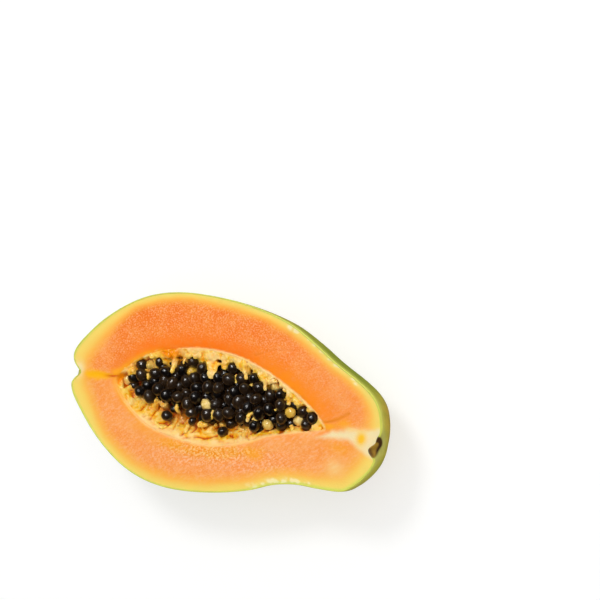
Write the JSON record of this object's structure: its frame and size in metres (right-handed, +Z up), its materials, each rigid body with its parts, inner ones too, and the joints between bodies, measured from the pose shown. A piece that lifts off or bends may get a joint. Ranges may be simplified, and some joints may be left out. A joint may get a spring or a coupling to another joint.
{
  "type": "papaya half",
  "caption": "Half of a ripe papaya, cut lengthwise and lying on its back, with a hollow full of round black seeds in its orange cut face.",
  "frame": {"origin": "middle of the fruit's outline seen from above, on the surface that it lies on", "axes": "+X along the fruit towards its stem end, +Y across it towards the hollow's steep side, +Z up out of the cut face"},
  "size_m": [0.1709, 0.0972, 0.0456],
  "materials": {
    "peel": "thin smooth waxy peel, yellow-green with orange-yellow patches",
    "flesh": "moist soft orange flesh, slightly glossy",
    "ripe_seed": "wet black seed in a clear gelatinous coat",
    "pale_seed": "moist cream-coloured undeveloped seed"
  },
  "bodies": {
    "root": {"fruit": "flesh", "seed_heap": "ripe_seed", "pale_seed_1": "pale_seed", "pale_seed_2": "pale_seed", "pale_seed_3": "pale_seed", "pale_seed_4": "pale_seed", "pale_seed_5": "pale_seed", "pale_seed_6": "pale_seed", "pale_seed_7": "pale_seed", "pale_seed_8": "pale_seed", "stray_seed_1": "ripe_seed", "stray_seed_2": "ripe_seed", "stray_seed_3": "ripe_seed"}
  },
  "joints": []
}
